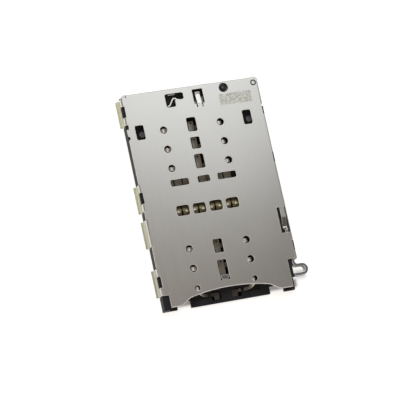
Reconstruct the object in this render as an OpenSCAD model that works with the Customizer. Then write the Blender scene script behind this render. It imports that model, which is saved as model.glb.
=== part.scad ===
// Tray-type SIM card socket with a push-rod ejector.
// X runs across the socket, Y from the tray mouth to the back, Z up from the board.
// The origin is on the board plane, in the middle of the shell's footprint. Sizes are in millimetres.

/* [Envelope] */
// Width over the shell's side walls
shell_w = 18.6; // [18.2:0.1:20]
// Length of the shell from its front ends to its back wall
shell_l = 27.9; // [27.4:0.1:30]
// Height of the shell's top face over the board
height = 1.5; // [1.45:0.05:1.8]
// Thickness of the housing's floor
floor_t = 0.5; // [0.45:0.01:0.6]

/* [Shell sheet] */
// Thickness of the shell's sheet
sheet = 0.15; // [0.12:0.01:0.18]
// Outside radius of the shell's folds
fold_r = 0.3; // [0.25:0.01:0.4]
// Clear height under the side and back walls
wall_lift = 0.35; // [0.2:0.05:0.5]
// Gap at each end of a fold
relief = 0.05; // [0.04:0.01:0.2]
// Distance of the plain left edge from the outside of the left walls
edge_setback = 0.06; // [0.02:0.01:0.1]
// Radius of the plate's corner at the back left
left_corner_r = 0.7; // [0.4:0.05:1]
// Radius of the plate's corner at the back right
right_corner_r = 0.6; // [0.4:0.05:1]

/* [Solder feet and latches] */
// Length of a solder foot along the side
foot_l = 3.5; // [3:0.1:4]
// How far a solder foot reaches out from its wall
foot_reach = 0.36; // [0.2:0.02:0.6]
// Inside radius of the fold above a solder foot
foot_r = 0.18; // [0.06:0.01:0.2]
// Length of a latch window in a fold
latch_l = 1.45; // [1:0.05:2]
// How far a right latch window reaches in from the outside of its wall
latch_in = 0.26; // [0.2:0.02:0.35]
// How far a left latch window reaches in from the outside of its wall
left_latch_in = 0.36; // [0.2:0.02:0.4]
// Height of a latch window's lower edge over the board
latch_z = 0.75; // [0.6:0.05:0.9]

/* [Front edge] */
// Depth of the arch in the top plate's front edge
arch_rise = 1.4; // [1:0.05:1.8]
// Radius of the shallow middle of the arch
arch_r = 23.5; // [20:0.5:30]
// Half width of the arch where its shoulders start
arch_in = 5.1; // [4.5:0.1:5.4]
// Half width of the arch where its shoulders end
arch_out = 6.9; // [6.5:0.1:7.2]
// Distance of the arch's middle from the middle of the shell
arch_shift = -0.4; // [-0.8:0.1:0.4]
// Width of the cut at the front left corner
corner_cut_w = 0.95; // [0.7:0.05:1.1]
// Length of the cut at the front left corner
corner_cut_l = 1.6; // [1.2:0.1:2]
// Width of the front right notch round the push rod's loop
notch_w = 1.42; // [1.3:0.02:1.5]
// Length of the front right notch
notch_l = 3.55; // [3.4:0.05:4]

/* [Card contacts] */
// Pitch of the contact rows
card_row = 2.54; // [2.4:0.01:2.6]
// Distance between the two contact columns
card_col = 7.62; // [7.3:0.01:8]
// Distance of the card contacts' middle line from the middle of the shell
card_shift = -0.7; // [-1:0.05:0]
// Distance from the back wall to the middle of the back contact group
card_back = 7.85; // [7.6:0.05:8.2]
// Distance from the shell's front ends to the middle of the front contact group
card_front = 4.42; // [4.3:0.02:4.8]
// Diameter of the holes over the contact tips
tip_hole_d = 0.94; // [0.8:0.02:1.1]
// Diameter of the holes over the front row's tips
front_hole_d = 0.74; // [0.6:0.02:1]
// Width of the windows over the contact tails
tail_window_w = 1.22; // [1:0.02:1.4]
// Corner radius of the windows
window_r = 0.22; // [0.1:0.02:0.3]

/* [Contact strips] */
// Thickness of the contact strips
contact_t = 0.12; // [0.1:0.01:0.15]
// Width of a card contact's beam
contact_w = 0.6; // [0.5:0.02:0.7]
// Height of the contact tips over the floor
contact_rise = 0.6; // [0.4:0.02:0.6]
// Slope of a card contact's beam in degrees
contact_slope = 21; // [19:1:24]
// Inside radius of a contact tip's bend
tip_r = 0.2; // [0.15:0.01:0.3]
// Height of the moulded-in necks over the board
neck_z = 0.24; // [0.2:0.01:0.28]
// Thickness of the web under the contacts' pockets
web_t = 0.12; // [0.1:0.01:0.15]

/* [Memory card contacts] */
// Pitch of the memory card contacts
memory_pitch = 1.1; // [1.05:0.01:1.15]
// Distance of the row's middle from the card contacts' middle line
memory_shift = -0.24; // [-0.4:0.02:0.2]
// Distance from the back contact group's middle to the memory contacts' tails
memory_tail = 4.47; // [4.35:0.01:4.7]
// Distance from the tails to the tips
memory_reach = 3.63; // [3.5:0.01:3.8]
// Width of a memory contact's beam
memory_w = 0.94; // [0.4:0.02:0.96]
// Slope of a memory contact's beam in degrees
memory_slope = 18; // [17:1:22]
// Width of a window over a pair of tips
memory_window_w = 1.68; // [1.5:0.02:1.8]
// Length of a window over a pair of tips
memory_window_l = 1.34; // [1.1:0.02:1.5]
// Length of the windows over the tails
memory_tail_l = 0.86; // [0.7:0.02:1]

/* [Ejector] */
// Thickness of the push rod's strip
rod_t = 0.38; // [0.34:0.01:0.42]
// Distance from the outside of the right wall to the rod's middle line
rod_inset = 0.65; // [0.62:0.01:0.7]
// Travel of the push rod
rod_travel = 1.6; // [1.2:0.1:1.8]
// Gap between the two runs of the rod's loop
loop_gap = 0.8; // [0.6:0.05:0.9]
// How far the loop reaches past the outside of the right wall
loop_reach = 1.1; // [1:0.02:1.5]
// Length of the bent pad at the rod's back end
pad_l = 0.88; // [0.7:0.02:0.95]
// Thickness of the ejector lever
lever_t = 0.35; // [0.3:0.01:0.4]
// Distance from the middle of the shell to the lever's pivot
pivot_x = 4.5; // [4:0.1:5]
// Distance from the back wall to the lever's pivot
pivot_in = 0.9; // [0.88:0.01:1]
// Radius of the pivot post
pivot_r = 0.4; // [0.35:0.01:0.42]
// Length of the lever's pushing arm
lever_arm = 4.5; // [4:0.1:4.6]
// Angle of the pushing arm with the tray fully in, in degrees
lever_in_angle = 2; // [0:0.5:3]

/* [Clearances] */
// Clearance between shell and housing
shell_fit = 0.05; // [0.03:0.01:0.08]
// Clearance beside the sliding push rod
rod_clear = 0.1; // [0.08:0.01:0.12]
// Clearance over and under sliding pieces
slide_gap = 0.05; // [0.03:0.01:0.08]
// Radial clearance of the lever on its post
pivot_clear = 0.04; // [0.02:0.01:0.08]
// Gap between the rod's pad and the lever's nose at rest
nose_gap = 0.06; // [0.05:0.01:0.1]
// Gap between moulded plastic and the strips in it
mould_gap = 0.01; // [0.005:0.005:0.02]

/* [Hidden] */
$fn = 32;

// Edges and levels
right = shell_w / 2;
left = -right;
back = shell_l / 2;
front = -back;
under = height - sheet;

// A length that reaches past everything near it, and the overlap of shapes that are joined
far = 3;
lap = 0.2;

// Middles of the left side's solder feet, from the back, and which of them have a latch window
last_foot_in = 2.25;
third_foot_y = 0.35;
second_foot_y = -4.2;
first_foot_in = 3.4;
foot_middles = [back - last_foot_in, third_foot_y, second_foot_y, front + first_foot_in];
latched_feet = [0, 1, 3];
// Middles of the right side's latches, from the back, and the back wall's two feet
last_latch_in = 4.42;
middle_latch_y = 3.1;
first_latch_in = 5.27;
right_latches = [back - last_latch_in, middle_latch_y, front + first_latch_in];
back_foot_x = 6;

// Folds of the plate's right and back edges, and the small cuts in its plain left edge
right_fold_y = [front + notch_l, back - right_corner_r];
back_fold_gap = 0.1;
back_fold_hole_r = 0.12;
back_fold_x = [left + left_corner_r + back_fold_gap, right - right_corner_r];
tear_notch_w = 0.6;
tear_notch_l = 0.7;
tear_notch_gap = 0.2;
tear_notch_y = foot_middles[0] - foot_l / 2 - relief - tear_notch_gap;
edge_nick_r = 0.25;
edge_nick_in = 5.75;
arch_points = 24;

// Contact groups
card_x = card_shift;
back_group_y = back - card_back;
front_group_y = front + card_front;

// Windows over the tails of each row: offset of the middle from the row, length, and the pad's setback
back_offset_1 = 0.21;
back_offset_2 = 0.3;
back_offset_3 = 0.41;
back_length_1 = 1.86;
back_length_2 = 1.54;
back_length_3 = 1.87;
front_offset_1 = -0.21;
front_offset_2 = -0.72;
front_length_1 = 1.81;
front_length_2 = 2.5;
pad_setback = 0.4;
back_windows = [
    [back_offset_1, back_length_1, 0],
    [back_offset_2, back_length_2, pad_setback],
    [back_offset_3, back_length_3, pad_setback]
];
front_windows = [
    [front_offset_1, front_length_1, pad_setback],
    [front_offset_2, front_length_2, pad_setback]
];

// Places of the contact rows
tip_setback = 0.09;
tip_u = card_col / 2 - tip_setback;
function back_row_y(row) = back_group_y + (1 - row) * card_row;
function front_row_y(row) = front_group_y + (1 - row) * card_row;

// Card contact plan, measured outwards from the middle line
tail_split = -0.15;
tail_gap = 0.1;
ramp_u = 0.5;
tail_hole_u = 0.85;
pocket_u = 1.45;
pocket_past_tip = 0.75;
pocket_side = 0.16;
opening_spare = 0.1;
pad_spare = 0.35;
pad_past_ramp = 0.12;
pilot_r = 0.11;
pilot_u = 0.28;
pilot_in = 0.26;
tip_taper = 0.8;
card_toe = [0.25, 40];
ramp_angle = 45;
ramp_r = 0.1;
beam_r = 0.3;

// Front row: its tails come out at the front bar, and its beams curve back to the tips
front_slope = 32;
front_tail_u = 0.82;
front_tail_w = 0.76;
front_tail_past = 0.48;
front_neck_in = 0.9;
front_neck_y = front + front_neck_in;
front_neck_w = 0.42;
front_post_w = 0.4;
front_post_gap = 0.03;
front_run = 0.4;
front_pocket_past = 0.6;
front_past_tip = 14;

// Memory contact plan, measured from the tails towards the mouth
memory_x = card_x + memory_shift;
memory_tail_y = back_group_y - memory_tail;
memory_tip_y = memory_tail_y - memory_reach;
memory_tail_u = -0.75;
memory_ramp_u = 0.05;
memory_bar_from = 0.46;
memory_bar_to = 0.95;
memory_pad_w = 0.96;
memory_point_w = 0.8;
memory_toe = [0.55, 22];
point_w = 0.46;
point_l = 0.42;
point_sink = 0.1;
point_rise = 0.05;
point_tilt = 8;
memory_window_r = 0.3;
memory_window_shift = 0.02;
// Windows over the tails: [offset, width]
memory_left_offset = -3.17;
memory_middle_offset = 0.04;
memory_right_offset = 3.13;
memory_left_w = 2.42;
memory_middle_w = 1.62;
memory_right_w = 2.48;
memory_tail_windows = [
    [memory_left_offset, memory_left_w],
    [memory_middle_offset, memory_middle_w],
    [memory_right_offset, memory_right_w]
];
function memory_contact_x(i) = memory_x + (i - 3.5) * memory_pitch;
function memory_pair_x(pair) = memory_x + (pair - 1.5) * 2 * memory_pitch;

// Housing
house_past = 0.28;
house_left = left + sheet + shell_fit;
house_right = right - sheet - shell_fit;
house_back = back - sheet - shell_fit;
house_front = front - house_past;
rail_top = under - shell_fit;
rod_x = right - rod_inset;
rod_in = rod_x - rod_t / 2;
rod_out = rod_x + rod_t / 2;
rail_out = rod_in - rod_clear;
post_in = rod_out + rod_clear;
rail_w = 0.7;
left_rail_w = 0.8;
slot_left = house_left + left_rail_w;
slot_right = rail_out - rail_w;
channel_z = 0.3;
bar_left = -5.5;
bar_right = 5.0;
recess_left = -7.35;
recess_right = 6.9;
front_recess_l = 0.95;
lead_in = 0.2;
hook_set = 0.03;
hook_lip = 0.12;
hook_lead = 0.1;
hook_below = 0.1;
rail_step = 0.26;

// Moulded pockets under the two side windows, each with a round boss left in it
side_window_w = 1.14;
side_window_l = 1.9;
side_window_x = 7.2;
side_window_in = 5.2;
side_window_y = back - side_window_in;
side_pocket_past = 0.3;
side_pocket_depth = 0.2;
boss_r = 0.42;
boss_x = 0.5;
boss_y = -0.06;

// Push rod
rod_z = channel_z + slide_gap;
rod_top = under - slide_gap;
rod_bend_r = 0.3;
pad_r = 0.15;
loop_inner_r = loop_gap / 2;
loop_in = 1.3;
loop_front_y = front + loop_in;
rod_notch_depth = 0.45;
rod_notch_past = 0.3;
rod_notch_floor = rod_top - rod_notch_depth;

// Lever and its post, whose shoulder carries the lever's ring
pivot = [pivot_x, back - pivot_in];
post_below = 0.08;
shoulder_w = 0.2;
shoulder_h = 0.22;
shoulder_z = floor_t + shoulder_h;
lever_gap = 0.03;
lever_z = shoulder_z + lever_gap;
lever_top = lever_z + lever_t;
lever_ring_w = 0.22;
lever_waist = 0.04;
nose_r = 0.32;
tip_end_r = 0.35;
nose_past_rod = 0.1;
nose_in = 1.3;
nose = [rod_x + nose_past_rod, back - nose_in];
nose_arm = norm(nose - pivot);
nose_rest_angle = asin((pivot[1] - nose[1]) / nose_arm);
lever_turn = asin((pivot[1] - nose[1] + rod_travel) / nose_arm) - nose_rest_angle;
tip_rest_angle = lever_turn - lever_in_angle;
pad_back = nose[1] - nose_r - nose_gap;
rail_end_gap = 0.35;
rail_back = pad_back - rod_t - rod_travel - rail_end_gap;

// Spring fingers cut from the top plate
finger_w = 0.62;
finger_gap = 0.06;
finger_toe_up = 8;
lever_finger_x = 0.95;
lever_root_in = 3.0;
lever_tip_in = 0.99;
lever_finger_root = back - lever_root_in;
lever_finger_tip = back - lever_tip_in;
lever_finger_flat = 0.3;
lever_finger_toe = 0.3;
lever_window_in = 0.6;
lever_window_end = back - lever_window_in;
lever_window_w = 1.38;
slit_w = 0.12;
slit_l = 0.5;
slit_lap = 0.01;
rod_finger_root = -3.58;
rod_finger_tip = -6.2;
rod_finger_flat = 1.3;
rod_finger_toe = 0.22;
rod_window_l = 3.37;
rod_window_w = 1.4;
rod_window_below = 0.05;
rod_window_edge = 0.18;
tongue_w = 1.06;
tongue_l = 0.5;
tongue_drop = 4;
tongue_relief_r = 0.15;

// Other windows of the top plate: the two arms of the switch window, the pivot hole and a coined ring
switch_window_r = 0.25;
long_arm_x = -2.22;
long_arm_in = 1.18;
long_arm_w = 2.44;
long_arm_l = 0.9;
short_arm_x = -2.82;
short_arm_in = 1.82;
short_arm_w = 1.24;
short_arm_l = 1.34;
pivot_hole_w = 0.215;
coin_side = 0.7;
coin_in = 0.8;
coin_in_r = 0.22;
coin_out_r = 0.39;
coin_depth = 0.09;

// Detect switch: a moulded-in spring on edge and the terminal behind it
detect_x = -4.7;
detect_in = 2.33;
detect_y = back - detect_in;
detect_t = 0.16;
detect_h = 0.7;
detect_top = floor_t + detect_h;
detect_run_l = 1.55;
detect_knee_turn = 58;
detect_knee_r = 0.3;
detect_knee_l = 0.7;
detect_hump_turn = 100;
detect_hump_r = 0.24;
detect_dip_l = 0.1;
detect_dip_turn = 30;
detect_dip_r = 0.2;
detect_end_l = 0.6;
detect_steps = [
    [detect_run_l, detect_knee_turn, detect_knee_r],
    [detect_knee_l, -detect_hump_turn, detect_hump_r],
    [detect_dip_l, detect_dip_turn, detect_dip_r],
    [detect_end_l, 0, 0]
];
detect_root_l = 1.0;
detect_step_l = 0.4;
detect_edge_shift = 0.1;
detect_l = 4;
terminal_x = -2.2;
terminal_w = 1;
terminal_tail_l = 0.16;
terminal_r = 0.08;
terminal_hole_l = 0.5;
terminal_hole_in = 0.42;

// Points along an arc
function arc(c, r, a0, a1, n = 8) =
    [for (i = [0 : n]) let (a = a0 + (a1 - a0) * i / n) c + r * [cos(a), sin(a)]];

// Height of the front arch at distance d from its middle: a shallow arc that fades out over its shoulders
function fade(t) = t <= 0 ? 1 : t >= 1 ? 0 : (1 + cos(180 * t)) / 2;
function arch(d) = (arch_rise - d * d / (2 * arch_r)) * fade((abs(d) - arch_in) / (arch_out - arch_in));

// Radius of an arc that leaves along X through a point dx away and dy across, and its angle there
function bow_radius(dx, dy) = (dx * dx + dy * dy) / (2 * dy);
function bow_angle(dy, r) = acos(1 - dy / r);

// Lengths along a contact strip, on the strip's middle line
ramp_line_r = ramp_r + contact_t / 2;
ramp_run = (neck_z - 2 * ramp_line_r * (1 - cos(ramp_angle))) / sin(ramp_angle);
ramp_l = 2 * ramp_line_r * sin(ramp_angle) + ramp_run * cos(ramp_angle);
bends_r = beam_r + tip_r + contact_t;
beam_climb = floor_t + contact_rise - contact_t - neck_z;
function beam_run(slope) = (beam_climb - bends_r * (1 - cos(slope))) / sin(slope);
function beam_l(slope) = bends_r * sin(slope) + beam_run(slope) * cos(slope);

// Front row's post, past the ramp, and the starts of its straight and its curved beam
front_post_u = front_tail_u + front_tail_w + ramp_l + front_post_gap;
front_beam_u = front_post_u + front_post_w;
front_arc_u = front_beam_u + front_run;
front_tail_end = house_front + front_tail_past;

// A contact's steps from its tail's end, through the ramp and the neck, up the beam and over the tip
// to its toe, which is given as [run, drop in degrees]
function contact_steps(from, ramp, tip, slope, toe) = [
    [ramp - from, ramp_angle, ramp_r],
    [ramp_run, -ramp_angle, ramp_r],
    [tip - beam_l(slope) - ramp - ramp_l, slope, beam_r],
    [beam_run(slope), -slope - toe[1], tip_r],
    [toe[0], 0, 0]
];

// Sector of a ring
module sector(r_in, r_out, a0, a1) {
    reach = 2 * r_out;
    mid = (a0 + a1) / 2;
    intersection() {
        difference() {
            circle(r_out);
            circle(r_in);
        }
        polygon([
            [0, 0],
            reach * [cos(a0), sin(a0)],
            2 * reach * [cos(mid), sin(mid)],
            reach * [cos(a1), sin(a1)]
        ]);
    }
}

// Bent strip seen on its edge: each step is [straight run, turn to the left in degrees, inside radius]
module strip(t, steps, i = 0) {
    if (i < len(steps)) {
        run = steps[i][0];
        turn = steps[i][1];
        r = steps[i][2];
        square([run, t]);
        if (turn > 90) {
            translate([run, t + r]) {
                sector(r, r + t, -90, 0);
                rotate(90) translate([0, -t - r]) strip_turn(t, steps, i, turn - 90);
            }
        } else if (turn < -90) {
            translate([run, -r]) {
                sector(r, r + t, 0, 90);
                rotate(-90) translate([0, r]) strip_turn(t, steps, i, turn + 90);
            }
        } else {
            translate([run, 0]) strip_turn(t, steps, i, turn);
        }
    }
}

// The last part of a step's turn, at most a quarter, and the steps after it
module strip_turn(t, steps, i, turn) {
    r = steps[i][2];
    if (turn > 0) {
        translate([0, t + r]) {
            sector(r, r + t, -90, turn - 90);
            rotate(turn) translate([0, -t - r]) strip(t, steps, i + 1);
        }
    } else if (turn < 0) {
        translate([0, -r]) {
            sector(r, r + t, 90 + turn, 90);
            rotate(turn) translate([0, r]) strip(t, steps, i + 1);
        }
    }
}

// Rounded rectangle about the origin
module rounded(size, r = window_r) {
    square([size[0] - 2 * r, size[1]], center = true);
    square([size[0], size[1] - 2 * r], center = true);
    for (x = [-1, 1], y = [-1, 1])
        translate([x * (size[0] / 2 - r), y * (size[1] / 2 - r)]) circle(r);
}

// Plan with a right and a left form: the left one is mirrored
module sided(side) {
    if (side < 0) mirror([1, 0, 0]) children();
    else children();
}

// Upright plate in the X-Z plane, drawn as strips and folds, from y0 to y1
module upright(y0, y1) {
    translate([0, y1, 0]) rotate([90, 0, 0]) linear_extrude(y1 - y0) children();
}

// Wall folded down from the top plate; its outside is at x = edge
module wall(edge, y0, y1, z_end) {
    upright(y0, y1) translate([edge - fold_r - lap, under])
        strip(sheet, [[lap, -90, fold_r - sheet], [height - fold_r - z_end, 0, 0]]);
}

// Wall with a solder foot turned out at the board
module footed_wall(edge, y0, y1) {
    upright(y0, y1) translate([edge - fold_r - lap, under]) strip(sheet, [
        [lap, -90, fold_r - sheet],
        [height - fold_r - foot_r - sheet, 90, foot_r],
        [foot_reach - foot_r, 0, 0]
    ]);
}

// Cut through a fold and the upper part of its wall
module latch_window(y, reach) {
    translate([right - reach, y - latch_l / 2, latch_z]) cube([far, latch_l, far]);
}

// Top plate's outline, before the folds and windows
module plate_outline() {
    inner_left = left + edge_setback;
    step = arch_out / arch_points;
    polygon(concat(
        [[inner_left, front]],
        [for (i = [-arch_points : arch_points]) [arch_shift + i * step, front + arch(i * step)]],
        [[right, front]],
        arc([right - right_corner_r, back - right_corner_r], right_corner_r, 0, 90),
        arc([inner_left + left_corner_r, back - left_corner_r], left_corner_r, 90, 180)
    ));
}

// Places where the plate gives way to a fold, and the cuts at its edges and front corners
module plate_cuts() {
    translate([right - fold_r, right_fold_y[0] - far])
        square([far, right_fold_y[1] - right_fold_y[0] + far]);
    translate([back_fold_x[0], back - fold_r]) square([back_fold_x[1] - back_fold_x[0], far]);
    translate([back_fold_x[0], back - fold_r]) circle(back_fold_hole_r);
    for (y = foot_middles)
        translate([left + fold_r - far, y - foot_l / 2 - relief]) square([far, foot_l + 2 * relief]);
    translate([left + edge_setback, tear_notch_y]) square([tear_notch_w, tear_notch_l], center = true);
    translate([left + edge_setback, back - edge_nick_in]) circle(edge_nick_r);
    translate([left + corner_cut_w - far, front - far]) square([far, corner_cut_l + far]);
    translate([right - notch_w, front - far]) square([far, notch_l + far]);
}

// Holes over the contact tips and windows over the contact tails
module contact_windows() {
    for (row = [0 : 2], side = [-1, 1]) translate([card_x + side * card_col / 2, 0]) {
        translate([0, back_row_y(row)]) circle(d = tip_hole_d);
        translate([0, front_row_y(row)]) circle(d = row == 2 ? front_hole_d : tip_hole_d);
    }
    for (row = [0 : 2]) translate([card_x, back_row_y(row) + back_windows[row][0]])
        rounded([tail_window_w, back_windows[row][1]]);
    for (row = [0 : 1]) translate([card_x, front_row_y(row) + front_windows[row][0]])
        rounded([tail_window_w, front_windows[row][1]]);
    for (window = memory_tail_windows)
        translate([card_x + window[0], memory_tail_y]) rounded([window[1], memory_tail_l]);
    for (pair = [0 : 3]) translate([memory_pair_x(pair), memory_tip_y - memory_window_shift])
        rounded([memory_window_w, memory_window_l], memory_window_r);
}

// Windows over the detect switch, the lever's finger and the two moulded pockets
module mechanism_windows() {
    finger_window_l = lever_window_end - lever_finger_root - slit_l;
    translate([long_arm_x, back - long_arm_in]) rounded([long_arm_w, long_arm_l], switch_window_r);
    translate([short_arm_x, back - short_arm_in]) rounded([short_arm_w, short_arm_l], switch_window_r);
    translate([lever_finger_x, lever_window_end - finger_window_l / 2])
        square([lever_window_w, finger_window_l], center = true);
    for (side = [-1, 1])
        translate([lever_finger_x + side * (finger_w + slit_w) / 2, lever_finger_root + slit_l / 2])
            square([slit_w, slit_l + 2 * slit_lap], center = true);
    for (side = [-1, 1]) translate([arch_shift + side * side_window_x, side_window_y])
        rounded([side_window_w, side_window_l]);
}

// Finger that runs from its root, slopes down to a given level and turns its toe up
module finger(flat, slope_l, toe, drop) {
    dip = asin(drop / slope_l);
    upright(-finger_w / 2, finger_w / 2) translate([-lap, under]) strip(sheet, [
        [lap + flat, -dip, sheet],
        [slope_l, dip + finger_toe_up, sheet],
        [toe, 0, 0]
    ]);
}

// Finger that presses on the lever
module lever_finger() {
    slope_l = lever_finger_tip - lever_finger_root - lever_finger_flat - lever_finger_toe;
    translate([lever_finger_x, lever_finger_root, 0]) rotate(90)
        finger(lever_finger_flat, slope_l, lever_finger_toe, under - lever_top - finger_gap);
}

// Finger that presses on the notch of the push rod
module rod_finger() {
    slope_l = rod_finger_root - rod_finger_tip - rod_finger_flat - rod_finger_toe;
    translate([rod_x, rod_finger_root, 0]) rotate(-90)
        finger(rod_finger_flat, slope_l, rod_finger_toe, under - rod_notch_floor - finger_gap);
}

// Short tongue bent down into the front group's long tail window
module tail_tongue() {
    window = front_windows[1];
    translate([card_x, front_row_y(1) + window[0] - window[1] / 2, 0]) rotate(90)
        upright(-tongue_w / 2, tongue_w / 2) translate([-lap, under])
            strip(sheet, [[lap, -tongue_drop, sheet], [tongue_l, 0, 0]]);
}

// Relief holes at the corners of the tongue's root
module tongue_reliefs() {
    window = front_windows[1];
    for (side = [-1, 1])
        translate([card_x + side * tongue_w / 2, front_row_y(1) + window[0] - window[1] / 2, under - far])
            cylinder(h = 2 * far, r = tongue_relief_r);
}

// Hole over the lever's pivot post
module pivot_hole() {
    translate([pivot[0], pivot[1], under - lap]) cylinder(h = far, r = pivot_r + pivot_hole_w);
}

// Window in the right fold round the rod's finger
module rod_finger_window() {
    window_z = height - fold_r - rod_window_below;
    window_x = rod_x - rod_window_w / 2;
    translate([window_x, rod_finger_root - rod_window_l, window_z])
        cube([right - rod_window_edge - window_x, rod_window_l, far]);
}

// Shallow ring coined into the top face at the back right corner
module coined_ring() {
    translate([right - coin_side, back - coin_in, height - coin_depth]) linear_extrude(far) difference() {
        circle(coin_out_r);
        circle(coin_in_r);
    }
}

// Top plate with its folded walls, feet and the walls' ends at the board
module folded_sheet() {
    translate([0, 0, under]) linear_extrude(sheet) difference() {
        plate_outline();
        plate_cuts();
        contact_windows();
        mechanism_windows();
    }
    wall(right, right_fold_y[0], right_fold_y[1] - relief, wall_lift);
    for (y = right_latches) wall(right, y - foot_l / 2, y + foot_l / 2, 0);
    rotate(90) {
        wall(back, relief - back_fold_x[1], -back_fold_x[0] - relief, wall_lift);
        for (x = [-back_foot_x, back_foot_x]) wall(back, x - foot_l / 2, x + foot_l / 2, 0);
    }
    mirror([1, 0, 0]) for (y = foot_middles) footed_wall(right, y - foot_l / 2, y + foot_l / 2);
}

module shell() {
    color([0.78, 0.77, 0.75]) union() {
        difference() {
            union() {
                folded_sheet();
                tail_tongue();
            }
            for (y = right_latches) latch_window(y, latch_in);
            mirror([1, 0, 0]) for (i = latched_feet) latch_window(foot_middles[i], left_latch_in);
            tongue_reliefs();
            pivot_hole();
            rod_finger_window();
            coined_ring();
        }
        lever_finger();
        rod_finger();
    }
}

// Floor's outline with its openings round the contacts' tails
module floor_outline() {
    recess_y = house_front + front_recess_l;
    step_y = right_fold_y[0] + relief;
    difference() {
        polygon([
            [house_left, house_front],
            [recess_left, house_front],
            [recess_left, recess_y],
            [bar_left, recess_y],
            [bar_left, house_front],
            [bar_right, house_front],
            [bar_right, recess_y],
            [recess_right, recess_y],
            [recess_right, house_front],
            [rail_out, house_front],
            [rail_out, step_y],
            [house_right, step_y],
            [house_right, house_back],
            [house_left, house_back]
        ]);
        tail_openings();
        translate([terminal_x, back - terminal_hole_in])
            square([terminal_w + 2 * mould_gap, terminal_hole_l], center = true);
    }
}

// Openings round the tails of all contacts
module tail_openings() {
    memory_half = (memory_pitch + memory_pad_w) / 4;
    front_in = front_tail_u - pocket_side / 2;
    front_y0 = front_tail_end - pocket_side / 2;
    front_y1 = front_neck_y + (front_neck_w + pocket_side) / 2;
    for (row = [0 : 2]) tail_opening(back_row_y(row), back_windows[row]);
    for (row = [0 : 1]) tail_opening(front_row_y(row), front_windows[row]);
    translate([memory_contact_x(0) - memory_half, memory_tail_y - memory_bar_from])
        square([7 * memory_pitch + 2 * memory_half, memory_bar_from - memory_tail_u + opening_spare]);
    for (side = [-1, 1]) translate([card_x, 0]) sided(side) translate([front_in, front_y0])
        square([front_post_u - front_in, front_y1 - front_y0]);
}

module tail_opening(y, window) {
    opening_l = window[1] + opening_spare + window[2];
    translate([card_x - tail_hole_u, y + window[0] - (window[1] + opening_spare) / 2])
        square([2 * tail_hole_u, opening_l]);
}

// Blind pockets that the contacts' beams spring down into
module beam_pockets() {
    memory_pocket_w = memory_w + pocket_side;
    front_y0 = front_neck_y - front_neck_w / 2 - pocket_side;
    front_y1 = front_row_y(2) + front_pocket_past;
    for (side = [-1, 1]) {
        for (row = [0 : 2]) beam_pocket(side, back_row_y(row));
        for (row = [0 : 1]) beam_pocket(side, front_row_y(row));
        translate([card_x, 0]) sided(side) translate([front_beam_u, front_y0])
            square([tip_u + pocket_past_tip - front_beam_u, front_y1 - front_y0]);
    }
    translate([memory_contact_x(0) - memory_pocket_w / 2, memory_tip_y - pocket_past_tip])
        square([7 * memory_pitch + memory_pocket_w, memory_reach - memory_bar_to + pocket_past_tip]);
}

module beam_pocket(side, y) {
    pocket_l = tip_u + pocket_past_tip - pocket_u;
    translate([card_x + side * (pocket_u + pocket_l / 2), y])
        square([pocket_l, contact_w + 2 * pocket_side], center = true);
}

// Slots that the moulded-in necks run through
module neck_slots() {
    bar_y = memory_tail_y - (memory_bar_from + memory_bar_to) / 2;
    post_u = (front_post_u + front_beam_u) / 2;
    for (row = [0 : 2]) neck_slot([card_x, back_row_y(row)], [2 * pocket_u, contact_w]);
    for (row = [0 : 1]) neck_slot([card_x, front_row_y(row)], [2 * pocket_u, contact_w]);
    for (side = [-1, 1])
        neck_slot([card_x + side * post_u, front_neck_y], [front_post_w, front_neck_w]);
    for (i = [0 : 7])
        neck_slot([memory_contact_x(i), bar_y], [memory_bar_to - memory_bar_from, memory_w], 90);
}

// Slot for a neck of a given run and width
module neck_slot(at, size, turn = 0) {
    translate([at[0], at[1], neck_z + contact_t / 2]) rotate(turn)
        cube([size[0] + lap, size[1] + 2 * mould_gap, contact_t + 2 * mould_gap], center = true);
}

// Rail from the mouth to y_end, with its inner corner cut back as a lead-in for the tray
module rail(x_in, x_out, y_end) {
    turn = sign(x_out - x_in);
    linear_extrude(rail_top) polygon([
        [x_out, house_front],
        [x_in + turn * lead_in, house_front],
        [x_in, house_front + 2 * lead_in],
        [x_in, y_end],
        [x_out, y_end]
    ]);
}

// Hook that stands in a latch window; root is the face it grows from
module latch_hook(y, root) {
    hook_l = latch_l - 2 * shell_fit;
    hook_z = latch_z + shell_fit;
    hook_top = rail_top - hook_lip;
    upright(y - hook_l / 2, y + hook_l / 2) polygon([
        [root, hook_z],
        [right - hook_set, hook_z],
        [right - hook_set, height - hook_below - hook_lead],
        [house_right, height - hook_below],
        [house_right, hook_top],
        [root, hook_top]
    ]);
}

// Post behind a right latch, between the rod's channel and the wall
module latch_post(y) {
    post_l = latch_l - 2 * shell_fit;
    translate([post_in, y - post_l / 2, 0]) cube([house_right - post_in, post_l, rail_top - hook_lip]);
}

// Solid left side between the solder feet, flush with the plate's plain edge
module side_fillings() {
    outer = left + edge_setback;
    half = foot_l / 2 + relief;
    ends = concat([for (i = [1 : 3]) foot_middles[i] + half], [house_front]);
    for (i = [0 : 3]) translate([outer, ends[i], 0])
        cube([house_left - outer + lap, foot_middles[i] - half - ends[i], rail_top]);
}

// Pockets under the side windows, with their bosses
module side_pockets() {
    pocket = [side_window_w + 2 * side_pocket_past, side_window_l + 2 * side_pocket_past];
    for (side = [-1, 1])
        translate([arch_shift + side * side_window_x, side_window_y, floor_t - side_pocket_depth])
            linear_extrude(far) difference() {
                square(pocket, center = true);
                translate([boss_x, boss_y]) circle(boss_r);
            }
}

// Floor with the contacts' openings and pockets, the side pockets and the room under the rod's pad
module floor_plate() {
    difference() {
        linear_extrude(floor_t) floor_outline();
        translate([0, 0, web_t]) linear_extrude(far) beam_pockets();
        neck_slots();
        rod_channel();
        detect_slot();
        mouth_chamfer();
        side_pockets();
    }
}

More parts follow.
